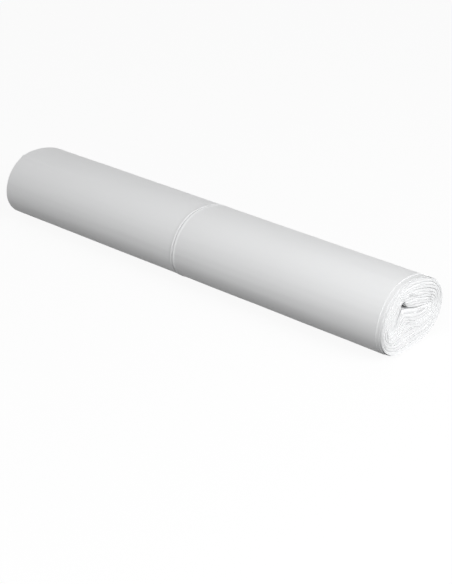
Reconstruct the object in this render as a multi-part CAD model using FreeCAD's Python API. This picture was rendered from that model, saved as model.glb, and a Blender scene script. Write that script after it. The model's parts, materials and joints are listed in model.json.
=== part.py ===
import FreeCAD, Part
import math
import os

# A coreless roll of film bin bags, lying on its side. The bag film is one long web, folded lengthwise
# so that its two folded edges meet at mid-length, and wound up without a tube. The roll has slumped:
# its section is a wide oval with a flat spot underneath, and the space that the winding mandrel left
# has collapsed to a crooked slit with one open corner.
#
# The whole roll is one solid: a band of film wound from its free end inwards. The outermost turn is a
# single wrap of film, and each turn inside it stands for several. X runs along the roll, Y across it
# and Z up. The origin is under the middle of the roll, on the surface that it rests on. Sizes are in
# millimetres, and a place round the roll is a share of a turn: 0 at the right, 0.25 at the top, 0.5 at
# the left and 0.75 underneath, seen from the near end at +X.

# The roll as a whole
ROLL_LENGTH = 375.0
ROLL_WIDTH = 77.0
ROLL_HEIGHT = 54.0
TOP_OFFSET = -8.0             # highest line, from the middle of the roll
WIDEST_HEIGHT = 24.5          # height of the widest place
FLAT_WIDTH = 18.0             # flat spot that the roll rests on
FLAT_OFFSET = 2.0             # middle of the flat spot, from the middle of the roll
FLAT_START = 0.675            # places round the roll where the flat spot starts and ends
FLAT_END = 0.825

# The wound film
TIGHT_THICKNESSES = [0.6, 0.9, 1.3]   # the outermost turn and the next two, which are tight
INNER_TURNS = 7
LAST_TURN_SHARE = 0.36        # pitch of the innermost turn, as a share of that of the other inner turns
TURN_GAP = 0.3                # air between one turn and the next
TAIL_PLACE = 0.93             # place round the roll of the film's free end
DIP_SHARE = 0.09              # share of a turn in which a tight turn dips under the one outside it
WRAP_TAPER = 0.05             # how far each face of the outermost turn draws in as it dips

# The collapsed middle
SLIT_LEFT = -27.0
SLIT_RIGHT = 21.0
SLIT_LEFT_HEIGHT = 22.0
SLIT_RIGHT_HEIGHT = 28.0
SLIT_WIDTH = 0.5
CORNER_PLACE = 0.72           # corner of the slit, as a share of its length from right to left
CORNER_RISE = 14.0            # rise of the corner above the line between the slit's tips
CORNER_SHARPNESS = 5          # more makes the corner less rounded
RIGHT_SAG = 1.25              # 1 makes the slit straight from its tip to the corner, more lets it sag
LEFT_SAG = 2.0
CORNER_BLEND = 0.04           # share of the slit over which its direction is taken
HOLLOW_HEIGHT = 4.0           # open hollow over the corner
HOLLOW_PLACE = 0.70
HOLLOW_REACH = 0.07

# Slack in the inner turns
WRINKLE_SHARE = 0.04          # height of the wrinkles, as a share of the depth of the inner turns
WRINKLE_COUNT = 5

# Gaps that stand open between two turns: the number of turns outside the gap, its place round the
# roll, its reach to each side as a share of a turn, and its width
OPEN_GAPS = [
    (3, 0.175, 0.05, 0.6),
    (4, 0.155, 0.04, 0.6),
    (5, 0.13, 0.035, 0.7),
    (6, 0.11, 0.03, 0.6),
    (7, 0.09, 0.03, 0.6),
    (6, 0.235, 0.045, 1.0),
    (3, 0.565, 0.03, 0.6),
    (5, 0.565, 0.03, 0.6),
    (5, 0.74, 0.06, 0.9),
    (6, 0.735, 0.05, 0.8),
    (8, 0.82, 0.05, 1.0),
]

# Folded edges of the film, measured in from the ends of the roll. At the far end they are flush, apart
# from the outermost turn's, and at the near end they are uneven and softened.
WRAP_SETBACK = 6.0            # outermost turn at the near end, on average
WRAP_SLANT = 3.8              # how much further it is set back at the right than at the left
SECOND_SETBACK = 1.6
FAR_WRAP_SETBACK = 1.2
EVENING_SHARE = 0.4           # share of a turn in which the third turn comes out to the full length
WANDER = 0.8                  # how far the edges of the inner turns stand in and out
WANDER_RATE = 1.3             # radians of in and out for each turn
BEVEL_ACROSS = 0.2            # softening of a folded edge, across the film
BEVEL_ALONG = 0.4             # and its shortest reach along the roll

# Seam where the two folded edges of the outermost turn meet
SEAM_PLACE = -2.0             # along the roll, from its middle
SEAM_WIDTH = 0.9

# How the film is drawn
POINTS_PER_TURN = 64
FACES_PER_TURN = 2            # faces along the film in one of the inner turns
RULED_THE_SAME_WAY = 1        # a ruled face joins the starts of its two lines, and their ends


def outline_point(place, inset):
    """Point on the roll's outline, or inside it by an inset."""
    half_width = ROLL_WIDTH / 2 - inset
    if place <= 0.5:
        angle = 2 * math.pi * place
        reach = half_width - TOP_OFFSET if place < 0.25 else half_width + TOP_OFFSET
        rise = ROLL_HEIGHT - WIDEST_HEIGHT - inset
        return TOP_OFFSET + reach * math.cos(angle), WIDEST_HEIGHT + rise * math.sin(angle)
    drop = WIDEST_HEIGHT - inset
    flat_left = FLAT_OFFSET - FLAT_WIDTH / 2
    flat_right = FLAT_OFFSET + FLAT_WIDTH / 2
    if place < FLAT_START:
        angle = math.pi / 2 * (place - 0.5) / (FLAT_START - 0.5)
        y = flat_left - (half_width + flat_left) * math.cos(angle)
        return y, WIDEST_HEIGHT - drop * math.sin(angle)
    if place > FLAT_END:
        angle = math.pi / 2 * (1 - place) / (1 - FLAT_END)
        y = flat_right + (half_width - flat_right) * math.cos(angle)
        return y, WIDEST_HEIGHT - drop * math.sin(angle)
    share = (place - FLAT_START) / (FLAT_END - FLAT_START)
    return flat_left + share * FLAT_WIDTH, inset


def slit_middle(share):
    """Point on the middle line of the slit, from its right tip at 0 to its left tip at 1."""
    y = SLIT_RIGHT + (SLIT_LEFT - SLIT_RIGHT) * share
    z = SLIT_RIGHT_HEIGHT + (SLIT_LEFT_HEIGHT - SLIT_RIGHT_HEIGHT) * share
    from_right = (share / CORNER_PLACE) ** RIGHT_SAG
    from_left = ((1 - share) / (1 - CORNER_PLACE)) ** LEFT_SAG
    rounding = (from_right ** CORNER_SHARPNESS + from_left ** CORNER_SHARPNESS) ** (1 / CORNER_SHARPNESS)
    return y, z + CORNER_RISE * from_right * from_left / rounding


def slit_point(place):
    """Point on the wall of the slit: its upper side for the upper half of the roll, else its lower."""
    half_turn = place * 2 if place <= 0.5 else (1 - place) * 2
    share = (1 - math.cos(math.pi * half_turn)) / 2
    before = slit_middle(max(share - CORNER_BLEND, 0))
    after = slit_middle(min(share + CORNER_BLEND, 1))
    run = math.dist(before, after)
    offset = SLIT_WIDTH / 2 * math.sin(math.pi * half_turn)
    hollow = HOLLOW_HEIGHT * math.exp(-(((share - HOLLOW_PLACE) / HOLLOW_REACH) ** 2))
    if place > 0.5:
        offset = -offset
        hollow = 0.0
    y, z = slit_middle(share)
    y += offset * (after[1] - before[1]) / run
    return y, z - offset * (after[0] - before[0]) / run + hollow


def turn_depths():
    """Depth of each turn's outer face below the roll's outline, at the top, ending at the slit."""
    depths = [0.0]
    for thickness in TIGHT_THICKNESSES:
        depths.append(depths[-1] + thickness + TURN_GAP)
    tight = depths[-1]
    loose = ROLL_HEIGHT - tight - slit_point(0.25)[1]
    pitch = loose / (INNER_TURNS - 1 + LAST_TURN_SHARE)
    return depths + [tight + pitch * turn for turn in range(1, INNER_TURNS)] + [tight + loose]


DEPTHS = turn_depths()
TIGHT_TURNS = len(TIGHT_THICKNESSES)
TIGHT_DEPTH = DEPTHS[TIGHT_TURNS]
LAST_TURN = len(DEPTHS) - 2


def inward_run(place):
    """Start and end of the way from the innermost tight turn to the slit."""
    return outline_point(place, TIGHT_DEPTH), slit_point(place)


def depth_scale(place, depth):
    """How many millimetres of film lie in one millimetre of depth."""
    if depth <= TIGHT_DEPTH:
        return 1.0
    return math.dist(*inward_run(place)) / (DEPTHS[-1] - TIGHT_DEPTH)


def film_point(place, depth):
    """Point at a depth. Tight turns follow the outline, and the others change shape towards the slit."""
    if depth <= TIGHT_DEPTH:
        return outline_point(place, depth)
    share = (depth - TIGHT_DEPTH) / (DEPTHS[-1] - TIGHT_DEPTH)
    (y0, z0), (y1, z1) = inward_run(place)
    wave = math.sin(2 * math.pi * (WRINKLE_COUNT * place + share))
    share += WRINKLE_SHARE * 4 * share * (1 - share) * wave
    return y0 + (y1 - y0) * share, z0 + (z1 - z0) * share


def dip(part):
    """How far a tight turn has dipped under the one outside it, from 0 to 1 at the end of the turn."""
    return max(0.0, (part - 1 + DIP_SHARE) / DIP_SHARE)


def winding_depth(turns):
    """Depth of the film's outer face, a number of turns in from its free end."""
    whole = min(int(turns), LAST_TURN)
    part = turns - whole
    if whole < TIGHT_TURNS:
        part = dip(part)
    return DEPTHS[whole] + part * (DEPTHS[whole + 1] - DEPTHS[whole])


def gap_opening(turns_outside, place):
    """Extra width of the gap under a turn, which is widest in the middle and closes to both sides."""
    opening = 0.0
    for number, middle, reach, width in OPEN_GAPS:
        if number == turns_outside and abs(place - middle) < reach:
            opening += width * math.cos(math.pi / 2 * (place - middle) / reach) ** 2
    return opening


def face_point(turns, outer, inset):
    """Section point on the film's outer or inner face, drawn in by an inset."""
    place = (TAIL_PLACE + turns) % 1.0
    if outer:
        depth = winding_depth(turns)
        inward = inset + gap_opening(int(turns), place) / 2
    else:
        depth = winding_depth(turns + 1)
        inward = -inset - TURN_GAP - gap_opening(int(turns) + 1, place) / 2
    return film_point(place, depth + inward / depth_scale(place, depth))


def film_stations(start, end, steps):
    """Places at which the film is drawn, in turns from its free end, and their distances along it."""
    turns = [start + (end - start) * step / steps for step in range(steps + 1)]
    distances = [0.0]
    for before, after in zip(turns, turns[1:]):
        chords = [math.dist(face_point(before, outer, 0), face_point(after, outer, 0)) for outer in (0, 1)]
        distances.append(distances[-1] + sum(chords) / 2)
    return turns, distances


def rail(stations, outer, inset, edge, taper):
    """Line along the film on its outer or inner face, at a folded edge or beside it."""
    turns, distances = stations
    points = []
    for place in turns:
        y, z = face_point(place, outer, inset + taper * dip(place))
        points.append(FreeCAD.Vector(edge(place), y, z))
    if len(points) == 2:
        return Part.makeLine(*points)
    line = Part.BSplineCurve()
    line.interpolate(Points=points, Parameters=distances)
    return line.toShape()


def polygon_face(corners):
    """Flat face with straight sides."""
    return Part.Face(Part.makePolygon(corners + corners[:1]))


def face_between(first, second):
    """Face between two lines that run the same way along the film, flat where both are straight."""
    if first.Curve.TypeId == "Part::GeomLine":
        ends = [vertex.Point for vertex in first.Vertexes + second.Vertexes[::-1]]
        return polygon_face(ends)
    return Part.makeRuledSurface(first, second, RULED_THE_SAME_WAY)


def steady(place):
    """Line that keeps its place along the roll."""
    return lambda turns: place


def film_strip(stretches, far_edge, bevel_start, near_edge, taper=0.0):
    """Solid length of the wound film, softened at its near edge, made of straight and curved stretches."""
    side = [(0.0, far_edge), (0.0, bevel_start), (BEVEL_ACROSS, near_edge)]
    faces = []
    caps = []
    for start, end, straight in stretches:
        steps = 1 if straight else math.ceil((end - start) * POINTS_PER_TURN)
        stations = film_stations(start, end, steps)
        rails = [rail(stations, True, *line, taper) for line in side]
        rails += [rail(stations, False, *line, taper) for line in reversed(side)]
        faces += [face_between(rails[number - 1], rails[number]) for number in range(len(rails))]
        caps.append([line.Vertexes[0].Point for line in rails])
        caps.append([line.Vertexes[-1].Point for line in rails])
    faces += [polygon_face(caps[0]), polygon_face(caps[-1])]
    return Part.Solid(Part.Shell(faces))


def wrap_near_edge(turns):
    """Near edge of the outermost turn, which is slanted across the roll."""
    slant = WRAP_SLANT / 2 * math.cos(2 * math.pi * (TAIL_PLACE + turns))
    return ROLL_LENGTH / 2 - WRAP_SETBACK - slant


def inner_setback(turns):
    """Setback of the inner turns: steady on the second, none as the third starts, then wandering."""
    evening = min(1.0, max(0.0, (turns - 2) / EVENING_SHARE))
    wandering = max(0.0, turns - 2 - EVENING_SHARE)
    steady_share = (1 + math.cos(math.pi * evening)) / 2
    return SECOND_SETBACK * steady_share + WANDER * math.sin(WANDER_RATE * wandering) ** 2


def outer_wrap():
    """The outermost turn, straight over the flat spot: its two halves, which meet at the seam."""
    flat_start = (FLAT_START - TAIL_PLACE) % 1.0
    flat_end = (FLAT_END - TAIL_PLACE) % 1.0
    stretches = [(0.0, flat_start, False), (flat_start, flat_end, True), (flat_end, 1.0, False)]
    far_edge = FAR_WRAP_SETBACK - ROLL_LENGTH / 2
    seam_far = SEAM_PLACE - SEAM_WIDTH / 2
    seam_near = SEAM_PLACE + SEAM_WIDTH / 2
    far_half = steady(far_edge), steady(seam_far - BEVEL_ALONG), steady(seam_far)
    near_half = steady(seam_near), lambda turns: wrap_near_edge(turns) - BEVEL_ALONG, wrap_near_edge
    return [film_strip(stretches, *half, WRAP_TAPER) for half in (far_half, near_half)]


def inner_winding():
    """The film inside the outermost turn, down to the slit."""
    joints = [1 + number / FACES_PER_TURN for number in range((LAST_TURN - 1) * FACES_PER_TURN + 1)]
    return film_strip(
        [(before, after, False) for before, after in zip(joints, joints[1:])],
        steady(-ROLL_LENGTH / 2),
        steady(ROLL_LENGTH / 2 - max(SECOND_SETBACK, WANDER) - BEVEL_ALONG),
        lambda turns: ROLL_LENGTH / 2 - inner_setback(turns),
    )


def bag_roll():
    """The roll as one solid."""
    return inner_winding().fuse(outer_wrap()).Solids[0]


os.makedirs("parts", exist_ok=True)
bag_roll().exportStep("parts/bag_roll.step")
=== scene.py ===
import json
import math
import random

import bpy
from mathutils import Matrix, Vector, noise

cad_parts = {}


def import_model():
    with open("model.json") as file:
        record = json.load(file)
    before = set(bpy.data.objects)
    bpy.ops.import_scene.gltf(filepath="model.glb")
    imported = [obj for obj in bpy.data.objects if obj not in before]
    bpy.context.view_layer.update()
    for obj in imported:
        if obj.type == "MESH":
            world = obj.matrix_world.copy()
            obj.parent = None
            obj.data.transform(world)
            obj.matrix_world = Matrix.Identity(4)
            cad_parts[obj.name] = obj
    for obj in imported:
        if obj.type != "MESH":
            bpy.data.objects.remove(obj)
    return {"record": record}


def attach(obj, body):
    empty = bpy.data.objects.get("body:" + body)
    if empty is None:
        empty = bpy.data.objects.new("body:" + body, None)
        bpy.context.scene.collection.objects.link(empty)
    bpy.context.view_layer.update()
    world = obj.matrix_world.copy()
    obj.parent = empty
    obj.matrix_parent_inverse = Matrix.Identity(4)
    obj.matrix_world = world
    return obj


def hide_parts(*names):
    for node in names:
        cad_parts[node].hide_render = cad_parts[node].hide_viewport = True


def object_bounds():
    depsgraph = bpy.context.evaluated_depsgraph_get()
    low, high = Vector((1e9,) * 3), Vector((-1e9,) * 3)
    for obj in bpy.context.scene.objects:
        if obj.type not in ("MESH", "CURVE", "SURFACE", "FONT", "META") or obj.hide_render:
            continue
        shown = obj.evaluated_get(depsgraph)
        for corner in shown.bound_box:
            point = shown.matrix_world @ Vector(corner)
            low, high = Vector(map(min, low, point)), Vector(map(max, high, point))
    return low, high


# A coreless roll of film bin bags, lying on its side on a pale floor. The outermost turn is a wrap whose
# two folded edges meet in a seam at mid-length. Inside it the film is wound up in fine turns, closely
# nested near the outline and wavy near the collapsed middle, with dark gaps where turns stand apart.
#
# X runs along the roll, Y across it and Z up. The origin is under the middle of the roll. Sizes of the
# roll are in millimetres, and become metres where a mesh is made. A place round the roll is a share of
# a turn: 0 at the right, 0.25 at the top, 0.5 at the left and 0.75 underneath, seen from the near end.

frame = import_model()
CAD_LOW, CAD_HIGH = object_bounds()
MM = 0.001

# The roll as a whole
ROLL_LENGTH = (CAD_HIGH.x - CAD_LOW.x) / MM
ROLL_WIDTH = (CAD_HIGH.y - CAD_LOW.y) / MM
ROLL_HEIGHT = (CAD_HIGH.z - CAD_LOW.z) / MM
TOP_OFFSET = -8.0
WIDEST_HEIGHT = 24.5
FLAT_WIDTH = 18.0
FLAT_OFFSET = 2.0
FLAT_START = 0.675
FLAT_END = 0.825
TAIL_PLACE = 0.93
BOTTOM_PLACE = 0.75

# The wound film
TIGHT_DEPTHS = [0.0, 0.3, 0.95, 1.25, 1.55]
TIGHT_GAPS = [0.0, 0.08, 0.35, 0.08]    # air outside each of the tight turns
LOOSE_TURNS = 36
FINE_GAP = 0.01                         # air outside most of the loose turns
GROUP_TURNS = 4
GROUP_GAP = 0.2                         # what is added to it between groups of them
GROUP_SETBACK = 0.6                     # and how far the folded edges stand back there
GROUP_SHARPNESS = 4
DIP_SHARE = 0.09                        # share of a turn over which a tight turn dips to the next depth

# The collapsed middle
SLIT_LEFT = -27.0
SLIT_RIGHT = 21.0
SLIT_LEFT_HEIGHT = 22.0
SLIT_RIGHT_HEIGHT = 28.0
SLIT_LEFT_WIDTH = 2.8
SLIT_RIGHT_WIDTH = 0.1
SLIT_NARROWING = 2.5                    # above 1, the slit narrows sooner from its left end
CORNER_PLACE = 0.72                     # share of the way from the slit's right tip to its left one
CORNER_RISE = 14.0
CORNER_SHARPNESS = 5
RIGHT_SAG = 1.45
LEFT_SAG = 2.0
CORNER_BLEND = 0.04
HOLLOW_HEIGHT = 4.0
HOLLOW_PLACE = 0.70
HOLLOW_REACH = 0.07

# Waves in the loose turns: share of their depth, count round the roll, lag towards the middle, start
WAVES = [(0.02, 5, 1.0, 0.0), (0.010, 9, 2.1, 0.35), (0.005, 14, 3.4, 0.7)]

# Gaps that stand open: place across the roll, height, reach as a share of a turn, width
OPEN_GAPS = [
    (-4.0, 43.2, 0.03, 0.9),
    (1.0, 40.2, 0.03, 0.4),
    (9.0, 46.6, 0.03, 0.15),
    (14.4, 42.3, 0.03, 0.15),
    (19.0, 39.5, 0.03, 0.15),
    (21.1, 35.4, 0.03, 0.2),
    (21.5, 31.5, 0.03, 0.2),
    (-28.5, 22.5, 0.02, 0.5),
    (10.5, 25.5, 0.06, 1.2),
    (-5.0, 21.8, 0.04, 1.2),
    (-2.0, 16.6, 0.06, 1.1),
    (1.0, 9.6, 0.05, 0.5),
    (-30.5, 18.5, 0.02, 0.12),
    (-32.5, 15.0, 0.02, 0.12),
]
GAP_SPREAD = 2.2                        # depth over which a gap squeezes the turns beside it, in widths
GAP_LEAST_SPREAD = 0.5                  # and what is added to it
SMALL_GAPS = 60
SMALL_GAP_SEED = 5
SMALL_GAP_REACH = (0.02, 0.05)
SMALL_GAP_WIDTH = (0.08, 0.2)

# Folded edges of the film, measured in from the ends of the roll
WRAP_SETBACK = 6.0
WRAP_SLANT = 3.8
SECOND_SETBACK = 1.6
FAR_WRAP_SETBACK = 1.2
FAR_SECOND_SETBACK = 0.6
EVENING_SHARE = 0.4                     # share of a turn over which the third turn's edges come out again
WANDER = 0.3                            # how far the edges wander in and out from turn to turn
WANDER_RATE = 1.3
FAR_WANDER_RATE = 1.8
EDGE_JITTER = 0.04                      # each loose turn's edge against its neighbours'
JITTER_RATE = 1.7
JITTER_START = 3.0
FAR_JITTER_START = 7.0
SLIT_SINK = 0.5                         # how far the edges stand back beside the slit
SLIT_LEFT_SINK = 1.0                    # how much more at its left end
SLIT_SINK_TURNS = 2.0                   # and over how many turns
FLARE = 1.2                             # how far the outer turns spread to the right at the near end
FLARE_START = 175.0                     # place along the roll where that starts

# Seam of the outermost turn
SEAM_PLACE = -2.0
SEAM_WIDTH = 1.1
SEAM_LIPS = [(-2.8, 0.2), (2.4, 0.26)]  # reach to each side of the seam and rise
LIP_GROWTH = 0.9                        # how much higher they stand low on the roll
LIP_GROWTH_START = 0.6                  # sine of the angle round the roll below which they grow

# Relief of the outermost turn
REST_REACH = 0.072                      # flattened to each side of the lowest place, as a share of a turn
REST_FADE = 0.12                        # and the share of a turn over which the relief comes back
DENT_RISE = 0.16
DENT_LENGTH = 48.0
DENTS_ROUND = 1.1
RIPPLE_RISE = 0.075
RIPPLE_LENGTH = 90.0
RIPPLES_ROUND = 9.0
CREASE_RISE = 1.1
CREASE_PLACE = 0.303
CREASE_HALF_WIDTH = 0.01                # as a share of a turn
CREASE_START = -187.0
CREASE_END = -105.0
LINE_DEPTH = 0.25
LINE_START = -103.0
LINE_END = -4.0
LINE_PLACES = (0.24, 0.17)
LINE_HALF_WIDTH = 0.005
LINE_TAPERS = 6                         # the line fades at both ends over its length divided by this

# Fineness of the meshes
STATIONS_PER_TURN = 160
WRAP_STATIONS = 150
WRAP_STEPS = 78
WRAP_CROWDING = 1.6                     # above 1, the steps crowd towards the seam
WRAP_TURNS = 0.995                      # a full turn, less a hair's breadth
SHARP_ANGLE = math.radians(50)

# The film's face
FILM_ROUGHNESS = 0.5
FILM_GLOSS = 0.3

# The studio: lamps by name with azimuth, elevation, distance in metres, size in metres and power
FLOOR_SIZE = 12
FLOOR_ROUGHNESS = 0.9
FLOOR_WHITENESS = 0.92                  # share of the floor that is plain white to the camera
FLOOR_SEEN = 1.0                        # colour of the rest of it there
FLOOR_COLOUR = 0.05                     # and of the floor where it only throws light back at the roll
WORLD_LIGHT = 0.19
LAMPS = [
    ("key", 75, 36, 1.25, 0.8, 7.0),
    ("end", 95, 22, 1.25, 0.8, 8.5),
    ("front", 8, 22, 1.6, 1.2, 9.2),
    ("back", 230, 25, 1.6, 1.2, 1.8),
]
CAMERA_PLACE = (0.6288, -0.7187, 0.479)
CAMERA_AZIMUTH = 40.33
CAMERA_ELEVATION = 27.53
CAMERA_LENS = 84.8
SENSOR_WIDTH = 36.0


def outline_point(place, inset):
    """Point on the roll's outline, or inside it by an inset."""
    half_width = ROLL_WIDTH / 2 - inset
    if place <= 0.5:
        angle = 2 * math.pi * place
        reach = half_width - TOP_OFFSET if place < 0.25 else half_width + TOP_OFFSET
        rise = ROLL_HEIGHT - WIDEST_HEIGHT - inset
        return TOP_OFFSET + reach * math.cos(angle), WIDEST_HEIGHT + rise * math.sin(angle)
    drop = WIDEST_HEIGHT - inset
    flat_left = FLAT_OFFSET - FLAT_WIDTH / 2
    flat_right = FLAT_OFFSET + FLAT_WIDTH / 2
    if place < FLAT_START:
        angle = math.pi / 2 * (place - 0.5) / (FLAT_START - 0.5)
        y = flat_left - (half_width + flat_left) * math.cos(angle)
        return y, WIDEST_HEIGHT - drop * math.sin(angle)
    if place > FLAT_END:
        angle = math.pi / 2 * (1 - place) / (1 - FLAT_END)
        y = flat_right + (half_width - flat_right) * math.cos(angle)
        return y, WIDEST_HEIGHT - drop * math.sin(angle)
    share = (place - FLAT_START) / (FLAT_END - FLAT_START)
    return flat_left + share * FLAT_WIDTH, inset


def slit_middle(share):
    """Point on the middle line of the slit, from its right tip at 0 to its left tip at 1."""
    y = SLIT_RIGHT + (SLIT_LEFT - SLIT_RIGHT) * share
    z = SLIT_RIGHT_HEIGHT + (SLIT_LEFT_HEIGHT - SLIT_RIGHT_HEIGHT) * share
    from_right = (share / CORNER_PLACE) ** RIGHT_SAG
    from_left = ((1 - share) / (1 - CORNER_PLACE)) ** LEFT_SAG
    rounding = (from_right ** CORNER_SHARPNESS + from_left ** CORNER_SHARPNESS) ** (1 / CORNER_SHARPNESS)
    return y, z + CORNER_RISE * from_right * from_left / rounding


def slit_point(place):
    """Point on the wall of the slit: its upper side for the upper half of the roll, else its lower."""
    half_turn = place * 2 if place <= 0.5 else (1 - place) * 2
    share = (1 - math.cos(math.pi * half_turn)) / 2
    before = slit_middle(max(share - CORNER_BLEND, 0))
    after = slit_middle(min(share + CORNER_BLEND, 1))
    run = math.dist(before, after)
    width = SLIT_RIGHT_WIDTH + (SLIT_LEFT_WIDTH - SLIT_RIGHT_WIDTH) * share ** SLIT_NARROWING
    offset = width / 2 * math.sin(math.pi * half_turn)
    hollow = HOLLOW_HEIGHT * math.exp(-(((share - HOLLOW_PLACE) / HOLLOW_REACH) ** 2))
    if place > 0.5:
        offset = -offset
        hollow = 0.0
    y, z = slit_middle(share)
    y += offset * (after[1] - before[1]) / run
    return y, z - offset * (after[0] - before[0]) / run + hollow


TIGHT_TURNS = len(TIGHT_DEPTHS) - 1
TIGHT_DEPTH = TIGHT_DEPTHS[-1]
FULL_DEPTH = ROLL_HEIGHT - slit_point(0.25)[1]
LOOSE_DEPTH = FULL_DEPTH - TIGHT_DEPTH
LAST_TURN = TIGHT_TURNS + LOOSE_TURNS - 1


def winding_depth(turns):
    """Depth of the film's outer face, a number of turns in from its free end."""
    if turns >= TIGHT_TURNS:
        return TIGHT_DEPTH + LOOSE_DEPTH * (turns - TIGHT_TURNS) / LOOSE_TURNS
    whole = int(turns)
    dip = max(0.0, (turns - whole - 1 + DIP_SHARE) / DIP_SHARE)
    return TIGHT_DEPTHS[whole] + dip * (TIGHT_DEPTHS[whole + 1] - TIGHT_DEPTHS[whole])


def film_point(place, depth, push):
    """Point at a depth. Tight turns follow the outline, and the others change shape towards the slit."""
    if depth <= TIGHT_DEPTH:
        return outline_point(place, depth + push)
    (y0, z0), (y1, z1) = outline_point(place, TIGHT_DEPTH), slit_point(place)
    share = (depth - TIGHT_DEPTH) / LOOSE_DEPTH
    room = 4 * share * (1 - share)
    wave = sum(
        height * math.sin(2 * math.pi * (count * place + lag * share + start))
        for height, count, lag, start in WAVES
    )
    share += room * wave + push / math.dist((y0, z0), (y1, z1))
    return y0 + (y1 - y0) * share, z0 + (z1 - z0) * share


def small_gaps():
    """Gaps that stand slightly open, scattered through the loose turns."""
    chance = random.Random(SMALL_GAP_SEED)
    gaps = []
    for _ in range(SMALL_GAPS):
        turns = chance.uniform(TIGHT_TURNS + 2, LAST_TURN)
        place = (TAIL_PLACE + turns) % 1.0
        reach = chance.uniform(*SMALL_GAP_REACH)
        gaps.append((int(turns), place, reach, chance.uniform(*SMALL_GAP_WIDTH)))
    return gaps


def nearest_turn(y, z):
    """The turn whose outer face passes closest to a point of the section, and its place there."""

    def distance(turns):
        place = (TAIL_PLACE + turns) % 1.0
        return math.dist((y, z), film_point(place, winding_depth(turns), 0.0))

    count = LOOSE_TURNS * STATIONS_PER_TURN
    turns = min((TIGHT_TURNS + number / STATIONS_PER_TURN for number in range(count)), key=distance)
    return int(turns), (TAIL_PLACE + turns) % 1.0


GAPS = [(*nearest_turn(y, z), reach, width) for y, z, reach, width in OPEN_GAPS] + small_gaps()


def gap_push(turns, depth):
    """How far the open gaps push a face of the film inwards, in millimetres."""
    place = (TAIL_PLACE + turns) % 1.0
    push = 0.0
    for boundary, middle, reach, width in GAPS:
        away = (place - middle + 0.5) % 1.0 - 0.5
        if abs(away) >= reach:
            continue
        boundary_turns = boundary + (middle - TAIL_PLACE) % 1.0 + away
        opening = width * math.cos(math.pi / 2 * away / reach) ** 2
        beyond = depth - winding_depth(max(0.0, boundary_turns))
        squeeze = max(0.0, 1 - abs(beyond) / (GAP_SPREAD * width + GAP_LEAST_SPREAD))
        side = -1 if turns < boundary_turns - 0.5 else 1
        push += side * opening / 2 * squeeze
    return push


def group_border(turns):
    """1 between two groups of turns, falling to 0 inside them."""
    return max(0.0, math.cos(2 * math.pi * (turns - TIGHT_TURNS) / GROUP_TURNS)) ** GROUP_SHARPNESS


def air_gap(turns):
    """Air outside a turn, which is wider between groups of turns."""
    if turns < TIGHT_TURNS:
        return TIGHT_GAPS[int(turns)]
    return FINE_GAP + GROUP_GAP * group_border(turns)


def face_point(turns, inner):
    """Section point on the film's outer or inner face."""
    place = (TAIL_PLACE + turns) % 1.0
    depth = winding_depth(turns + 1) - air_gap(turns + 1) if inner else winding_depth(turns)
    return film_point(place, depth, gap_push(turns, depth))


def fade(share):
    """Smooth rise from 0 to 1."""
    share = min(1.0, max(0.0, share))
    return share * share * (3 - 2 * share)


def off_the_floor(place):
    """0 where the roll rests, rising to 1 at its sides."""
    return fade((abs(place - BOTTOM_PLACE) - REST_REACH) / REST_FADE)


def flare(turns, x):
    """How far the film has spread out to the right near the near end, less towards the middle."""
    place = (TAIL_PLACE + turns) % 1.0
    along = max(0.0, (x - FLARE_START) / (ROLL_LENGTH / 2 - FLARE_START))
    to_the_right = max(0.0, math.cos(2 * math.pi * place)) * off_the_floor(place)
    return FLARE * along * to_the_right * max(0.0, 1 - turns / LAST_TURN)


def film_mesh(name, stations, profile_at, relief_at):
    """Closed mesh of a length of film: one ring of its profile at each station along the winding."""
    verts = []
    rings = []
    for turns in stations:
        outer = face_point(turns, False)
        inner = face_point(turns, True)
        thickness = math.dist(outer, inner)
        ring = []
        for x, share in profile_at(turns):
            rise = flare(turns, x) + relief_at((TAIL_PLACE + turns) % 1.0, x) * (1 - share)
            share -= rise / thickness
            y = outer[0] + (inner[0] - outer[0]) * share
            z = outer[1] + (inner[1] - outer[1]) * share
            ring.append(len(verts))
            verts.append((x * MM, y * MM, max(z, 0.0) * MM))
        rings.append(ring)
    size = len(rings[0])
    faces = [
        (before[number - 1], before[number], after[number], after[number - 1])
        for before, after in zip(rings, rings[1:])
        for number in range(size)
    ]
    faces.append(tuple(rings[0]))
    faces.append(tuple(reversed(rings[-1])))
    mesh = bpy.data.meshes.new(name)
    mesh.from_pydata(verts, [], faces)
    mesh.validate()
    mesh.update()
    mesh.shade_smooth()
    mesh.set_sharp_from_angle(angle=SHARP_ANGLE)
    piece = bpy.data.objects.new(name, mesh)
    bpy.context.collection.objects.link(piece)
    return piece


def spread(start, end, count):
    """Evenly spaced numbers from start to end."""
    return [start + (end - start) * step / count for step in range(count + 1)]


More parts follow.
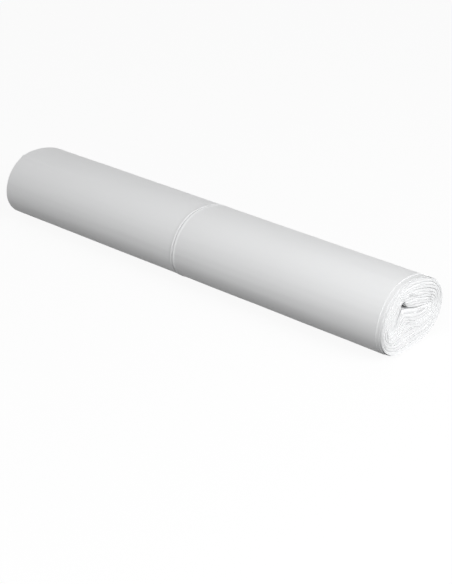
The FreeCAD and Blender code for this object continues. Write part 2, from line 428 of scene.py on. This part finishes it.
def wrap_relief(place, x):
    """Relief of the outermost turn: dents, ripples along the film, a crease, a line and the seam's lips."""
    angle = 2 * math.pi * place
    round_roll = Vector((math.cos(angle), math.sin(angle), 0))
    dents = noise.noise(round_roll * DENTS_ROUND + Vector((0, 0, x / DENT_LENGTH)))
    ripples = noise.noise(round_roll * RIPPLES_ROUND + Vector((0, 0, x / RIPPLE_LENGTH)))
    relief = DENT_RISE * dents + RIPPLE_RISE * ripples
    crease = math.exp(-(((place - CREASE_PLACE) / CREASE_HALF_WIDTH) ** 2))
    relief += CREASE_RISE * crease * fade((CREASE_END - x) / (CREASE_END - CREASE_START))
    along = (x - LINE_START) / (LINE_END - LINE_START)
    line_place = LINE_PLACES[0] + (LINE_PLACES[1] - LINE_PLACES[0]) * along
    line = math.exp(-(((place - line_place) / LINE_HALF_WIDTH) ** 2))
    relief -= LINE_DEPTH * line * fade(along * LINE_TAPERS) * fade((1 - along) * LINE_TAPERS)
    growth = 1 + LIP_GROWTH * fade(LIP_GROWTH_START - math.sin(angle))
    for reach, rise in SEAM_LIPS:
        share = (x - SEAM_PLACE) / reach
        if 0 < share < 1:
            relief += rise * growth * math.sin(math.pi * share) ** 2
    return relief * off_the_floor(place)


def wrap_half(name, seam_edge, end_edge, slant):
    """One half of the outermost turn, drawn most finely beside the seam, with a slanted end edge."""

    def profile_at(turns):
        length = end_edge - slant / 2 * math.cos(2 * math.pi * (TAIL_PLACE + turns)) - seam_edge
        shares = spread(0.0, 1.0, WRAP_STEPS)
        places = sorted(seam_edge + length * share ** WRAP_CROWDING for share in shares)
        return [(x, 0.0) for x in places] + [(places[-1], 1.0), (places[0], 1.0)]

    return film_mesh(name, spread(0.0, WRAP_TURNS, WRAP_STATIONS), profile_at, wrap_relief)


def inner_setback(turns, second_setback, wander_rate, jitter_start):
    """Setback of the inner turns: steady on the second, fading as the third starts, then wandering."""
    evening = min(1.0, max(0.0, (turns - 2) / EVENING_SHARE))
    wandering = max(0.0, turns - 2 - EVENING_SHARE)
    steady = second_setback * (1 + math.cos(math.pi * evening)) / 2
    wander = WANDER * math.sin(wander_rate * wandering / GROUP_TURNS) ** 2
    jitter = EDGE_JITTER * (0.5 + 0.5 * noise.noise(Vector((turns * JITTER_RATE, jitter_start, 0.0))))
    sink = SLIT_SINK - SLIT_LEFT_SINK * min(0.0, math.cos(2 * math.pi * (TAIL_PLACE + turns)))
    sink *= fade((turns - LAST_TURN) / SLIT_SINK_TURNS + 1)
    return steady + (wander + jitter + GROUP_SETBACK * group_border(turns + 0.5)) * evening + sink


def inner_turns():
    """The film inside the outermost turn, down to the slit."""

    def profile_at(turns):
        far_setback = inner_setback(turns, FAR_SECOND_SETBACK, FAR_WANDER_RATE, FAR_JITTER_START)
        far_edge = far_setback - ROLL_LENGTH / 2
        near_edge = ROLL_LENGTH / 2 - inner_setback(turns, SECOND_SETBACK, WANDER_RATE, JITTER_START)
        near = [(FLARE_START, 0.0), (near_edge, 0.0), (near_edge, 1.0), (FLARE_START, 1.0)]
        return near + [(far_edge, 1.0), (far_edge, 0.0)]

    count = (LAST_TURN - 1) * STATIONS_PER_TURN
    return film_mesh("inner_turns", spread(1.0, LAST_TURN, count), profile_at, lambda place, x: 0.0)


def film_material():
    """White polyethylene film with a satin face."""
    material = bpy.data.materials.new("film")
    material.use_nodes = True
    shader = material.node_tree.nodes["Principled BSDF"]
    colour = frame["record"]["materials"][0]["base_color"]
    shader.inputs["Base Color"].default_value = (*colour, 1)
    shader.inputs["Roughness"].default_value = FILM_ROUGHNESS
    shader.inputs["Specular IOR Level"].default_value = FILM_GLOSS
    return material


def seen_directly(tree):
    """1 for what the camera sees straight, in a gloss or through a clear thing, else 0."""
    path = tree.nodes.new("ShaderNodeLightPath")
    total = path.outputs["Is Camera Ray"]
    for name in ("Is Glossy Ray", "Is Transmission Ray"):
        larger = tree.nodes.new("ShaderNodeMath")
        larger.operation = "MAXIMUM"
        tree.links.new(total, larger.inputs[0])
        tree.links.new(path.outputs[name], larger.inputs[1])
        total = larger.outputs[0]
    return total


def range_of(tree, share, low, high):
    """A number that goes from low to high with a share."""
    spread_node = tree.nodes.new("ShaderNodeMapRange")
    spread_node.inputs["To Min"].default_value = low
    spread_node.inputs["To Max"].default_value = high
    tree.links.new(share, spread_node.inputs["Value"])
    return spread_node.outputs["Result"]


def floor_material():
    """Pale floor that the camera sees as white apart from the shadow."""
    material = bpy.data.materials.new("floor")
    material.use_nodes = True
    tree = material.node_tree
    shader = tree.nodes["Principled BSDF"]
    colour = range_of(tree, seen_directly(tree), FLOOR_COLOUR, FLOOR_SEEN)
    tree.links.new(colour, shader.inputs["Base Color"])
    shader.inputs["Roughness"].default_value = FLOOR_ROUGHNESS
    shader.inputs["Specular IOR Level"].default_value = 0.0
    white = tree.nodes.new("ShaderNodeEmission")
    mix = tree.nodes.new("ShaderNodeMixShader")
    tree.links.new(range_of(tree, seen_directly(tree), 0.0, FLOOR_WHITENESS), mix.inputs["Fac"])
    tree.links.new(shader.outputs[0], mix.inputs[1])
    tree.links.new(white.outputs[0], mix.inputs[2])
    tree.links.new(mix.outputs[0], tree.nodes["Material Output"].inputs["Surface"])
    return material


def floor():
    """Plain floor under the roll."""
    bpy.ops.mesh.primitive_plane_add(size=FLOOR_SIZE)
    plane = bpy.context.object
    plane.name = "floor"
    plane.data.materials.append(floor_material())


def world():
    """Even light from all round, white to the camera."""
    studio = bpy.data.worlds.new("studio")
    bpy.context.scene.world = studio
    studio.use_nodes = True
    tree = studio.node_tree
    background = tree.nodes["Background"]
    background.inputs["Color"].default_value = (1, 1, 1, 1)
    strength = range_of(tree, seen_directly(tree), WORLD_LIGHT, 1.0)
    tree.links.new(strength, background.inputs["Strength"])


def direction(azimuth, elevation):
    """Direction from the roll, with azimuth 0 in front of it and 90 past its near end."""
    turn = math.radians(azimuth)
    rise = math.radians(elevation)
    return Vector((math.sin(turn) * math.cos(rise), -math.cos(turn) * math.cos(rise), math.sin(rise)))


def softbox(name, azimuth, elevation, distance, size, power):
    """Square lamp that faces the middle of the roll."""
    lamp = bpy.data.lights.new(name, "AREA")
    lamp.shape = "SQUARE"
    lamp.size = size
    lamp.energy = power
    holder = bpy.data.objects.new(name, lamp)
    bpy.context.collection.objects.link(holder)
    back = direction(azimuth, elevation)
    holder.location = Vector((0, 0, ROLL_HEIGHT / 2 * MM)) + back * distance
    holder.rotation_mode = "QUATERNION"
    holder.rotation_quaternion = back.to_track_quat("Z", "Y")


def camera():
    """Camera at the photograph's place: a long lens, from the right, the front and above."""
    data = bpy.data.cameras.new("camera")
    data.lens = CAMERA_LENS
    data.sensor_width = SENSOR_WIDTH
    holder = bpy.data.objects.new("camera", data)
    bpy.context.collection.objects.link(holder)
    holder.location = CAMERA_PLACE
    holder.rotation_mode = "QUATERNION"
    holder.rotation_quaternion = direction(CAMERA_AZIMUTH, CAMERA_ELEVATION).to_track_quat("Z", "Y")
    bpy.context.scene.camera = holder


film = film_material()
far_end = FAR_WRAP_SETBACK - ROLL_LENGTH / 2
near_end = ROLL_LENGTH / 2 - WRAP_SETBACK
far_wrap = wrap_half("outer_wrap_far", SEAM_PLACE - SEAM_WIDTH / 2, far_end, 0.0)
near_wrap = wrap_half("outer_wrap_near", SEAM_PLACE + SEAM_WIDTH / 2, near_end, WRAP_SLANT)
for piece in (far_wrap, near_wrap, inner_turns()):
    piece.data.materials.append(film)
    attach(piece, "root")
    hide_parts("bag_roll")

floor()
world()
for lamp in LAMPS:
    softbox(*lamp)
camera()
bpy.context.scene.view_settings.view_transform = "Standard"
